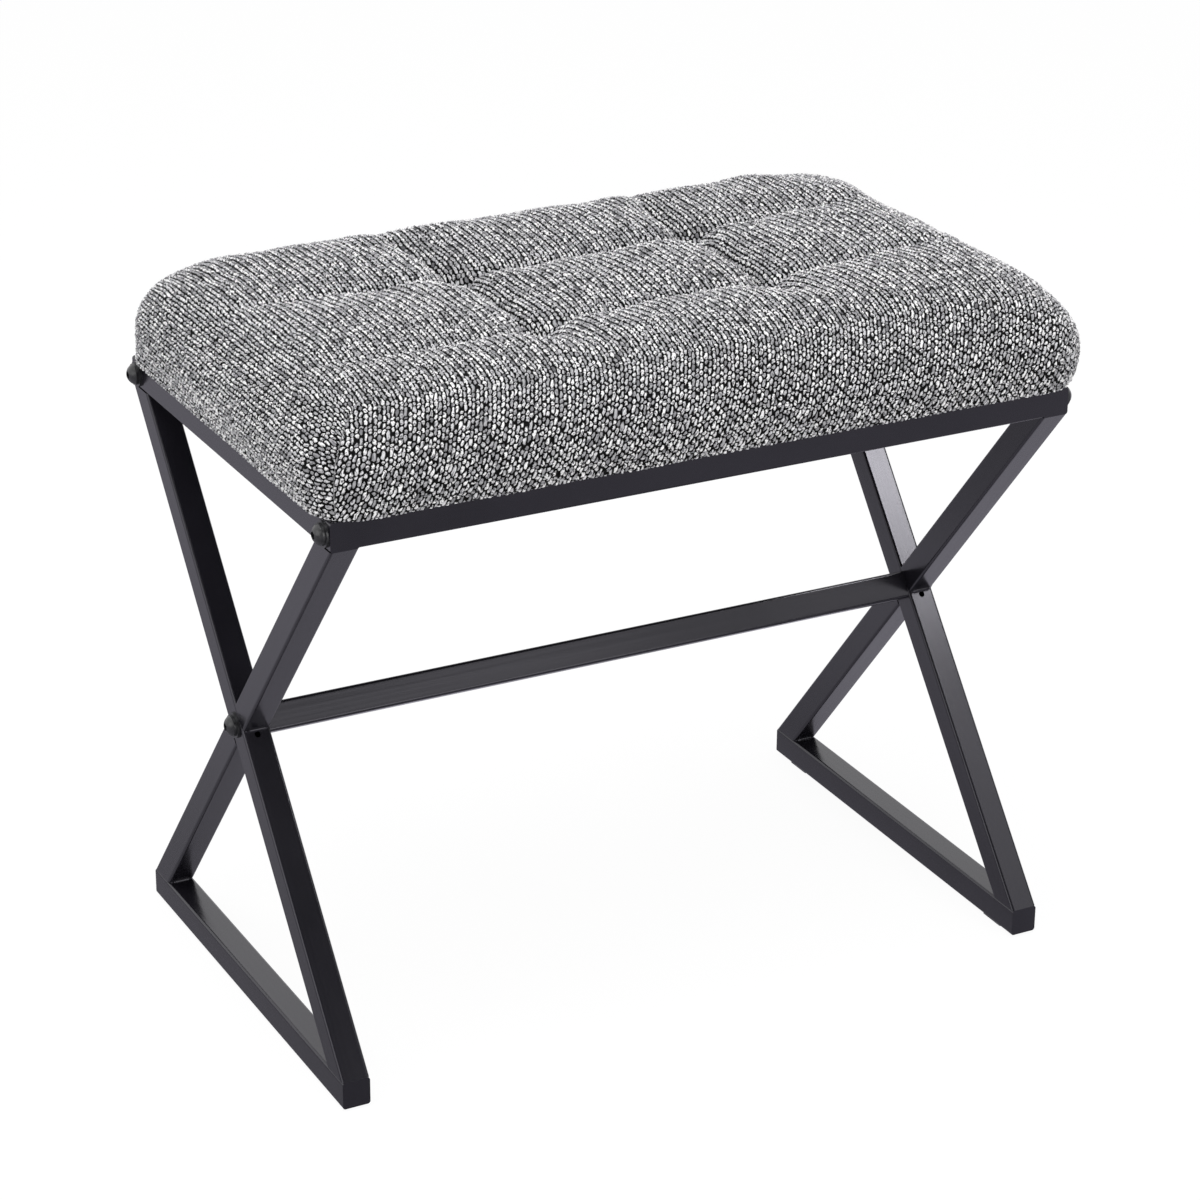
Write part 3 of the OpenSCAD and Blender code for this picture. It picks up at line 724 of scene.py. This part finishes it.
def give(tree, socket, value):
    """Sets an input to a value, or links it to the socket that feeds it"""
    if isinstance(value, bpy.types.NodeSocket):
        tree.links.new(value, socket)
    else:
        socket.default_value = value


def new_node(tree, kind, inputs=None, **settings):
    """Adds a node; an input is given a value, or the socket that feeds it"""
    made = tree.nodes.new(kind)
    for key, value in settings.items():
        setattr(made, key, value)
    for key, value in (inputs or {}).items():
        give(tree, made.inputs[key], value)
    return made


def calc(tree, operation, *values, clamp=False):
    made = new_node(tree, "ShaderNodeMath", dict(enumerate(values)), operation=operation)
    made.use_clamp = clamp
    return made.outputs[0]


def pick(tree, chosen, if_not, if_so):
    """One number where a socket is 0 and another where it is 1"""
    made = new_node(tree, "ShaderNodeMix", {"Factor": chosen, 2: if_not, 3: if_so},
                    data_type="FLOAT")
    return made.outputs[0]


def ramp(tree, factor, stops, interpolation="LINEAR"):
    """A colour ramp; each stop is a position and a grey or an RGB colour"""
    made = new_node(tree, "ShaderNodeValToRGB", {"Fac": factor})
    made.color_ramp.interpolation = interpolation
    while len(made.color_ramp.elements) < len(stops):
        made.color_ramp.elements.new(0.5)
    for element, (place, colour) in zip(made.color_ramp.elements, stops):
        element.position = place
        rgb = (colour,) * 3 if isinstance(colour, (int, float)) else colour
        element.color = (*rgb, 1)
    return made.outputs["Color"]


def blend_colours(tree, factor, first, second, mode="MIX"):
    made = new_node(tree, "ShaderNodeMix", data_type="RGBA", blend_type=mode)
    sockets = {"Factor_Float": factor, "A_Color": first, "B_Color": second}
    for socket in made.inputs:
        if socket.identifier in sockets:
            give(tree, socket, sockets[socket.identifier])
    return next(s for s in made.outputs if s.identifier == "Result_Color")


def noise(tree, place, scale, detail=2.0, roughness=0.5):
    made = new_node(tree, "ShaderNodeTexNoise", {
        "Vector": place, "Scale": scale, "Detail": detail, "Roughness": roughness})
    return made.outputs["Fac"]


def new_finish(name, **constants):
    """A material with its shader's constants set; gives it, its tree and its shader"""
    finish = bpy.data.materials.new(name)
    finish.use_nodes = True
    tree = finish.node_tree
    shader = tree.nodes["Principled BSDF"]
    for key, value in constants.items():
        shader.inputs[key.replace("_", " ")].default_value = value
    return finish, tree, shader


def object_place(tree, turn=(0, 0, 0), stretch=(1, 1, 1)):
    """Object coordinates, turned into a piece's own direction"""
    place = new_node(tree, "ShaderNodeTexCoord").outputs["Object"]
    turned = new_node(tree, "ShaderNodeMapping", {"Vector": place, "Rotation": turn})
    return new_node(tree, "ShaderNodeMapping", {
        "Vector": turned.outputs[0], "Scale": stretch}).outputs[0]


def put_bump(tree, shader, height, distance, strength=1.0):
    made = new_node(tree, "ShaderNodeBump", {
        "Height": height, "Distance": distance, "Strength": strength})
    tree.links.new(made.outputs[0], shader.inputs["Normal"])


def powder_coat(name, turn):
    """Satin black powder coat, with faint drawing lines along the tube"""
    finish, tree, shader = new_finish(name, Specular_IOR_Level=0.5,
                                      Specular_Tint=(0.93, 0.91, 1.0, 1))
    along = object_place(tree, turn=turn, stretch=(1, 0.012, 1))
    lines = noise(tree, along, 420, 3)
    ripple = noise(tree, along, 110, 2)
    plain = object_place(tree)
    peel = noise(tree, plain, 900, 2)
    cloud = noise(tree, plain, 14, 3)
    colour = ramp(tree, cloud, [(0.3, (0.0085, 0.0080, 0.0110)), (0.7, (0.0125, 0.0115, 0.0155))])
    tree.links.new(colour, shader.inputs["Base Color"])
    rough = calc(tree, "MULTIPLY_ADD", lines, 0.08, 0.14)
    rough = calc(tree, "MULTIPLY_ADD", cloud, 0.06, rough)
    tree.links.new(rough, shader.inputs["Roughness"])
    relief = calc(tree, "MULTIPLY_ADD", lines, 0.5, calc(tree, "MULTIPLY", peel, 0.3))
    relief = calc(tree, "MULTIPLY_ADD", ripple, 6.0, relief)
    put_bump(tree, shader, relief, 0.06 * MM, 0.35)
    return finish


CLOUDED = {
    "black_fastener": ({"Specular_IOR_Level": 0.6}, (260, 3),
                       [(0.3, (0.010, 0.010, 0.012)), (0.75, (0.028, 0.028, 0.03))],
                       (0.24, 0.18), (2600, 0.03 * MM, 0.4)),
    "zinc_steel": ({"Metallic": 1.0}, (180, 4),
                   [(0.3, (0.50, 0.51, 0.53)), (0.75, (0.68, 0.69, 0.70))],
                   (0.22, 0.25), (1500, 0.02 * MM, 0.4)),
    "black_plastic": ({"Specular_IOR_Level": 0.4}, (90, 3),
                      [(0.3, (0.014, 0.014, 0.015)), (0.75, (0.024, 0.024, 0.025))],
                      (0.48, 0.15), (1800, 0.05 * MM, 0.5)),
}


def clouded(name):
    """A plain finish that soft noise mottles in colour and sheen. Its row holds the shader's
    constants, the noise's scale and detail, its colours, the least roughness and what the
    noise adds to it, and the scale, depth and strength of a fine grain."""
    constants, cloud, colours, (least, added), (scale, depth, strength) = CLOUDED[name]
    finish, tree, shader = new_finish(name, **constants)
    place = object_place(tree)
    spots = noise(tree, place, *cloud)
    tree.links.new(ramp(tree, spots, colours), shader.inputs["Base Color"])
    tree.links.new(calc(tree, "MULTIPLY_ADD", spots, added, least), shader.inputs["Roughness"])
    put_bump(tree, shader, noise(tree, place, scale, 2), depth, strength)
    return finish


def plywood():
    """Raw plywood: long grain on the faces, thin plies along the edges"""
    finish, tree, shader = new_finish("plywood", Roughness=0.68, Specular_IOR_Level=0.3)
    grain = noise(tree, object_place(tree, stretch=(0.05, 1, 1)), 160, 5, 0.6)
    plies = new_node(tree, "ShaderNodeTexWave", {
        "Vector": object_place(tree), "Scale": 105, "Distortion": 1.5},
        wave_type="BANDS", bands_direction="Z").outputs["Fac"]
    wood = ramp(tree, grain, [(0.3, (0.42, 0.27, 0.14)), (0.7, (0.62, 0.45, 0.27))])
    dark = ramp(tree, plies, [(0.4, 0.62), (0.6, 1.0)])
    tree.links.new(blend_colours(tree, 1.0, wood, dark, "MULTIPLY"), shader.inputs["Base Color"])
    put_bump(tree, shader, grain, 0.15 * MM, 0.4)
    return finish


def open_foam():
    finish, tree, shader = new_finish("foam", Roughness=0.9, Specular_IOR_Level=0.2)
    cells = new_node(tree, "ShaderNodeTexVoronoi", {
        "Vector": object_place(tree), "Scale": 900}).outputs["Distance"]
    tree.links.new(ramp(tree, cells, [(0.2, (0.66, 0.58, 0.38)), (0.7, (0.86, 0.80, 0.60))]),
                   shader.inputs["Base Color"])
    put_bump(tree, shader, cells, 0.3 * MM, 0.6)
    return finish


def cord():
    """Twisted waxed cord"""
    finish, tree, shader = new_finish("tie_cord", Roughness=0.6, Specular_IOR_Level=0.4)
    twist = new_node(tree, "ShaderNodeTexWave", {
        "Vector": object_place(tree, turn=(0.6, 0.5, 0)), "Scale": 260, "Distortion": 0.6},
        wave_type="BANDS", bands_direction="Z").outputs["Fac"]
    tree.links.new(ramp(tree, twist, [(0.2, (0.48, 0.45, 0.38)), (0.8, (0.78, 0.75, 0.67))]),
                   shader.inputs["Base Color"])
    put_bump(tree, shader, twist, 0.2 * MM, 0.7)
    return finish


def spun_cloth():
    """Thin black non-woven cloth with its small pressed dots"""
    finish, tree, shader = new_finish(
        "dust_cloth", Roughness=0.85, Specular_IOR_Level=0.25, Sheen_Weight=0.2)
    place = object_place(tree)
    fibres = noise(tree, place, 1400, 4, 0.7)
    dots = new_node(tree, "ShaderNodeTexVoronoi", {
        "Vector": place, "Scale": 420, "Randomness": 0.15}).outputs["Distance"]
    pressed = calc(tree, "LESS_THAN", dots, 0.25)
    colour = ramp(tree, fibres, [(0.3, (0.012, 0.012, 0.014)), (0.7, (0.035, 0.035, 0.038))])
    tree.links.new(blend_colours(tree, pressed, colour, (0.009, 0.009, 0.010, 1)),
                   shader.inputs["Base Color"])
    relief = calc(tree, "MULTIPLY_ADD", pressed, -0.8, fibres)
    put_bump(tree, shader, relief, 0.12 * MM, 0.6)
    return finish


def woven_knot(tree, place):
    """What knot_height works out, as sockets: the knot's strand and its number along it,
    whether the strand is a low one, the knot's body, and how far into the top it lies"""
    parts = new_node(tree, "ShaderNodeSeparateXYZ", {0: place})
    across = calc(tree, "DIVIDE", parts.outputs[0], RIB_PITCH)
    rib = calc(tree, "FLOOR", across)
    share = calc(tree, "SUBTRACT", across, rib)
    low = calc(tree, "GREATER_THAN", share, PROUD_SHARE)
    row = calc(tree, "MULTIPLY_ADD", rib, 2.0, low)
    start = calc(tree, "SINE", calc(tree, "MULTIPLY", row, KNOT_PHASE))
    start = calc(tree, "MULTIPLY_ADD", row, KNOT_STEP, calc(tree, "MULTIPLY", start, KNOT_JITTER))
    start = calc(tree, "FRACT", start)
    moved = parts.outputs[1]
    for size, length, phase in KNOT_DRIFT:
        wave = calc(tree, "MULTIPLY_ADD", parts.outputs[1], 2 * math.pi / length,
                    calc(tree, "MULTIPLY", start, phase))
        moved = calc(tree, "MULTIPLY_ADD", calc(tree, "SINE", wave), size, moved)
    along = calc(tree, "ADD", start, calc(tree, "DIVIDE", moved, KNOT_PITCH))
    knot = calc(tree, "FLOOR", along)
    on_proud = calc(tree, "DIVIDE", share, PROUD_SHARE)
    on_low = calc(tree, "MULTIPLY_ADD", calc(tree, "SUBTRACT", share, PROUD_SHARE),
                  1 / (1 - PROUD_SHARE), LOW_SHIFT / 2)
    du = calc(tree, "MULTIPLY_ADD", pick(tree, low, on_proud, on_low), 2.0, -1.0)
    dv = calc(tree, "MULTIPLY_ADD", calc(tree, "SUBTRACT", along, knot), 2.0, -1.0)
    du, dv = calc(tree, "MULTIPLY", du, du), calc(tree, "MULTIPLY", dv, dv)
    spot = new_node(tree, "ShaderNodeSeparateXYZ", {0: object_place(tree)}).outputs
    away = calc(tree, "ABSOLUTE", calc(tree, "SUBTRACT", spot[0], SEAT_MID.x))
    middle = calc(tree, "MULTIPLY_ADD", away, -1 / WEAVE_END_FADE, WEAVE_END_X / WEAVE_END_FADE,
                  clamp=True)
    top = calc(tree, "MULTIPLY_ADD", spot[2], 1 / WEAVE_TOP_FADE,
               -(SEAT_Z + WEAVE_TOP_START) / WEAVE_TOP_FADE, clamp=True)
    across_pull = pick(tree, top, KNOT_ACROSS_SIDE, KNOT_ACROSS_TOP)
    along_pull = pick(tree, top, KNOT_ALONG_SIDE, KNOT_ALONG_TOP)
    taken = calc(tree, "MULTIPLY_ADD", du, across_pull, calc(tree, "MULTIPLY", dv, along_pull))
    taken = calc(tree, "MULTIPLY_ADD", calc(tree, "MULTIPLY", du, dv), KNOT_SQUARE, taken)
    body = calc(tree, "SQRT", calc(tree, "SUBTRACT", 1.0, taken, clamp=True))
    return row, knot, low, body, calc(tree, "MULTIPLY", top, middle)


def chenille():
    """Knobbly weave: rows of light, grey and near-black knots, read from the weave map. Painted
    shade darkens the gaps between the knots, the spots between their curls, and the low strands on
    the top
    """
    finish, tree, shader = new_finish(
        "woven_cover", Roughness=0.9, Specular_IOR_Level=0.1, Sheen_Weight=0.06,
        Sheen_Roughness=0.5)
    place = new_node(tree, "ShaderNodeUVMap", uv_map="weave").outputs[0]
    fray = new_node(tree, "ShaderNodeTexNoise", {"Vector": place, "Scale": FRAY_SCALE, "Detail": 2})
    shift = new_node(tree, "ShaderNodeVectorMath", {
        0: fray.outputs["Color"], 1: (-0.5, -0.5, -0.5)}, operation="ADD").outputs[0]
    place = new_node(tree, "ShaderNodeVectorMath", {
        0: shift, 1: (FRAY, FRAY, 0), 2: place}, operation="MULTIPLY_ADD").outputs[0]
    row, knot, low, body, top_middle = woven_knot(tree, place)
    cell = new_node(tree, "ShaderNodeCombineXYZ", {0: row, 1: knot}).outputs[0]
    luck = new_node(tree, "ShaderNodeTexWhiteNoise", {"Vector": cell},
                    noise_dimensions="2D").outputs["Value"]
    fluff = noise(tree, place, FLUFF_SCALE, 3, 0.65)
    curl = ramp(tree, noise(tree, place, CURL_SCALE, 1.5, 0.6), [(0.40, 0.0), (0.49, 1.0)])
    # Painted shade: between the curls each knot takes its darker shade colour
    pale = blend_colours(tree, curl, PALE_SHADE, ramp(tree, luck, PALE_YARN, "CONSTANT"))
    grey = blend_colours(tree, curl, GREY_SHADE, ramp(tree, luck, GREY_YARN, "CONSTANT"))
    # The low strands' own grey on the sides; on the top they are greyed further as painted shade
    # from the proud strands beside them
    grey_share_with_painted_shade = calc(tree, "MULTIPLY", low, calc(
        tree, "MULTIPLY_ADD", top_middle, TOP_PAINTED_SHADE_GREYING, GREYED_SIDE))
    yarn = blend_colours(tree, grey_share_with_painted_shade, pale, grey)
    # Painted shade: the colour falls to near black in the gaps between the knots, where their
    # relief is low
    painted_gap_shade = ramp(tree, body, [(0.0, 0.006), (0.26, 0.05), (0.42, 0.85), (0.6, 1.0)])
    yarn = blend_colours(tree, 1.0, yarn, painted_gap_shade, "MULTIPLY")
    hairs = ramp(tree, fluff, [(0.30, 0.66), (0.50, 1.0)])
    tree.links.new(blend_colours(tree, 1.0, yarn, hairs, "MULTIPLY"), shader.inputs["Base Color"])
    low_h = pick(tree, top_middle, LOW_H_SIDE, LOW_H_TOP)
    level = calc(tree, "MULTIPLY", body, pick(tree, low, 1.0, low_h))
    relief = calc(tree, "MULTIPLY_ADD", fluff, FLUFF_RELIEF, level)
    relief = calc(tree, "MULTIPLY_ADD", curl, CURL_RELIEF, relief)
    put_bump(tree, shader, relief, KNOT_H * 0.7, 0.6)
    return finish


FINISHES = {"plywood": plywood, "foam": open_foam, "tie_cord": cord}

# Turns that lay the coat's drawing lines along each tube
COAT_TURNS = {
    "bar": (0, 0, 0), "through_leg": (-LEG_ANGLE, 0, 0), "half_leg": (LEG_ANGLE, 0, 0),
    "rail": (0, 0, math.pi / 2), "stretcher": (0, 0, math.pi / 2), "end_plates": (0, 0, 0),
}


def dress_frame():
    """Gives every carried-over node its finish, by the record's material slots"""
    made = {name: clouded(name) for name in CLOUDED}
    made.update((name, make()) for name, make in FINISHES.items())
    coats = {part: powder_coat("frame_coat_" + part, turn) for part, turn in COAT_TURNS.items()}
    for row in frame["record"]["subparts"]:
        piece = frame["nodes"][row["node"]]
        if row["material_slot"] == "frame_coat":
            part = next(key for key in COAT_TURNS if row["node"].endswith(key))
            finish = coats[part]
        else:
            finish = made.get(row["material_slot"])
        if finish:
            piece.data.materials.clear()
            piece.data.materials.append(finish)
    return coats


# Studio

def paper_floor():
    """Pale floor: white to the camera but for a soft shadow, dimmed and tinted in gloss"""
    clear_selection()
    bpy.ops.mesh.primitive_plane_add(size=FLOOR_SIZE, location=(0, 0, 0))
    floor = bpy.context.object
    floor.name = "studio_floor"
    finish, tree, shader = new_finish("paper", Base_Color=(0.85, 0.85, 0.85, 1), Roughness=0.9,
                                      Specular_IOR_Level=0.0)
    rays = new_node(tree, "ShaderNodeLightPath")
    in_gloss = rays.outputs["Is Glossy Ray"]
    seen = calc(tree, "MAXIMUM", rays.outputs["Is Camera Ray"], in_gloss)
    seen = calc(tree, "MAXIMUM", seen, rays.outputs["Is Transmission Ray"])
    spot = new_node(tree, "ShaderNodeSeparateXYZ", {0: object_place(tree)})
    glossy_glow = 1.0
    for axis, levels in enumerate([GLOSS_ACROSS, GLOSS_DEEP]):
        stops = [((place + 1) / 2, level) for place, level in levels]
        level = ramp(tree, calc(tree, "MULTIPLY_ADD", spot.outputs[axis], 0.5, 0.5), stops)
        glossy_glow = calc(tree, "MULTIPLY", level, glossy_glow)
    strength = pick(tree, in_gloss, FLOOR_GLOW, glossy_glow)
    tint = blend_colours(tree, in_gloss, (1, 1, 1, 1), GLOSS_TINT)
    glow = new_node(tree, "ShaderNodeEmission", {"Color": tint, "Strength": strength})
    share = calc(tree, "MULTIPLY", seen, FLOOR_GLOW_SHARE)
    mix = new_node(tree, "ShaderNodeMixShader", {
        0: share, 1: shader.outputs[0], 2: glow.outputs[0]})
    tree.links.new(mix.outputs[0], tree.nodes["Material Output"].inputs["Surface"])
    floor.data.materials.append(finish)


def studio_world():
    """White all round to the camera, and an even light on matt surfaces. In gloss it is
    bright behind and dim in front."""
    world = bpy.data.worlds.new("studio")
    bpy.context.scene.world = world
    world.use_nodes = True
    tree = world.node_tree
    tree.nodes.clear()
    rays = new_node(tree, "ShaderNodeLightPath")
    in_gloss = rays.outputs["Is Glossy Ray"]
    way = new_node(tree, "ShaderNodeSeparateXYZ",
                   {0: new_node(tree, "ShaderNodeTexCoord").outputs["Generated"]})
    behind = calc(tree, "MULTIPLY_ADD", way.outputs[1], WORLD_EDGE_PACE, WORLD_EDGE_MID,
                  clamp=True)
    gloss = calc(tree, "MULTIPLY_ADD", behind, WORLD_GLOSS_BACK - WORLD_GLOSS_FRONT,
                 WORLD_GLOSS_FRONT)
    seen = calc(tree, "MAXIMUM", rays.outputs["Is Camera Ray"],
                rays.outputs["Is Transmission Ray"])
    plain = calc(tree, "MAXIMUM", seen, WORLD_LIGHT)
    light = new_node(tree, "ShaderNodeBackground", {
        "Color": (1, 1, 1, 1), "Strength": pick(tree, in_gloss, plain, gloss)})
    out = new_node(tree, "ShaderNodeOutputWorld")
    tree.links.new(light.outputs[0], out.inputs["Surface"])


def softbox(name, place, aim, size, watts, gloss_only):
    """A rectangular lamp that the camera doesn't see"""
    data = bpy.data.lights.new(name, "AREA")
    data.shape = "RECTANGLE"
    data.size, data.size_y = size
    data.energy = watts
    lamp = bpy.data.objects.new(name, data)
    bpy.context.scene.collection.objects.link(lamp)
    lamp.location = place
    lamp.rotation_euler = (Vector(aim) - Vector(place)).to_track_quat("-Z", "Y").to_euler()
    lamp.visible_camera = False
    lamp.visible_diffuse = not gloss_only


def photo_camera():
    data = bpy.data.cameras.new("photo_camera")
    data.lens = CAMERA_LENS
    data.sensor_width = CAMERA_SENSOR
    data.sensor_fit = "HORIZONTAL"
    data.clip_end = CAMERA_SEES
    camera = bpy.data.objects.new("photo_camera", data)
    bpy.context.scene.collection.objects.link(camera)
    camera.matrix_world = (
        Matrix.Translation(CAMERA_PLACE)
        @ Matrix.Rotation(math.radians(CAMERA_TURN), 4, "Z")
        @ Matrix.Rotation(math.radians(90 - CAMERA_DOWN), 4, "X")
        @ Matrix.Rotation(math.radians(CAMERA_ROLL), 4, "Z"))
    bpy.context.scene.camera = camera


photo_camera()
studio_world()
for lamp in LAMPS:
    softbox(*lamp)
paper_floor()
coats = dress_frame()

cushion = make_cushion()
dust_cloth = make_dust_cloth()
left_welds = make_weld_beads("left_weld_beads", -END_X)
right_welds = make_weld_beads("right_weld_beads", END_X)
for piece, finish, slot in [
        (cushion, chenille(), "woven_cover"), (dust_cloth, spun_cloth(), "dust_cloth"),
        (left_welds, coats["bar"], "frame_coat"), (right_welds, coats["bar"], "frame_coat")]:
    piece.data.materials.clear()
    piece.data.materials.append(finish)
    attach(piece, "root")
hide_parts("seat_cover", "foam_pad")
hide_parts("dust_cloth")

bpy.context.scene.view_settings.view_transform = "Standard"
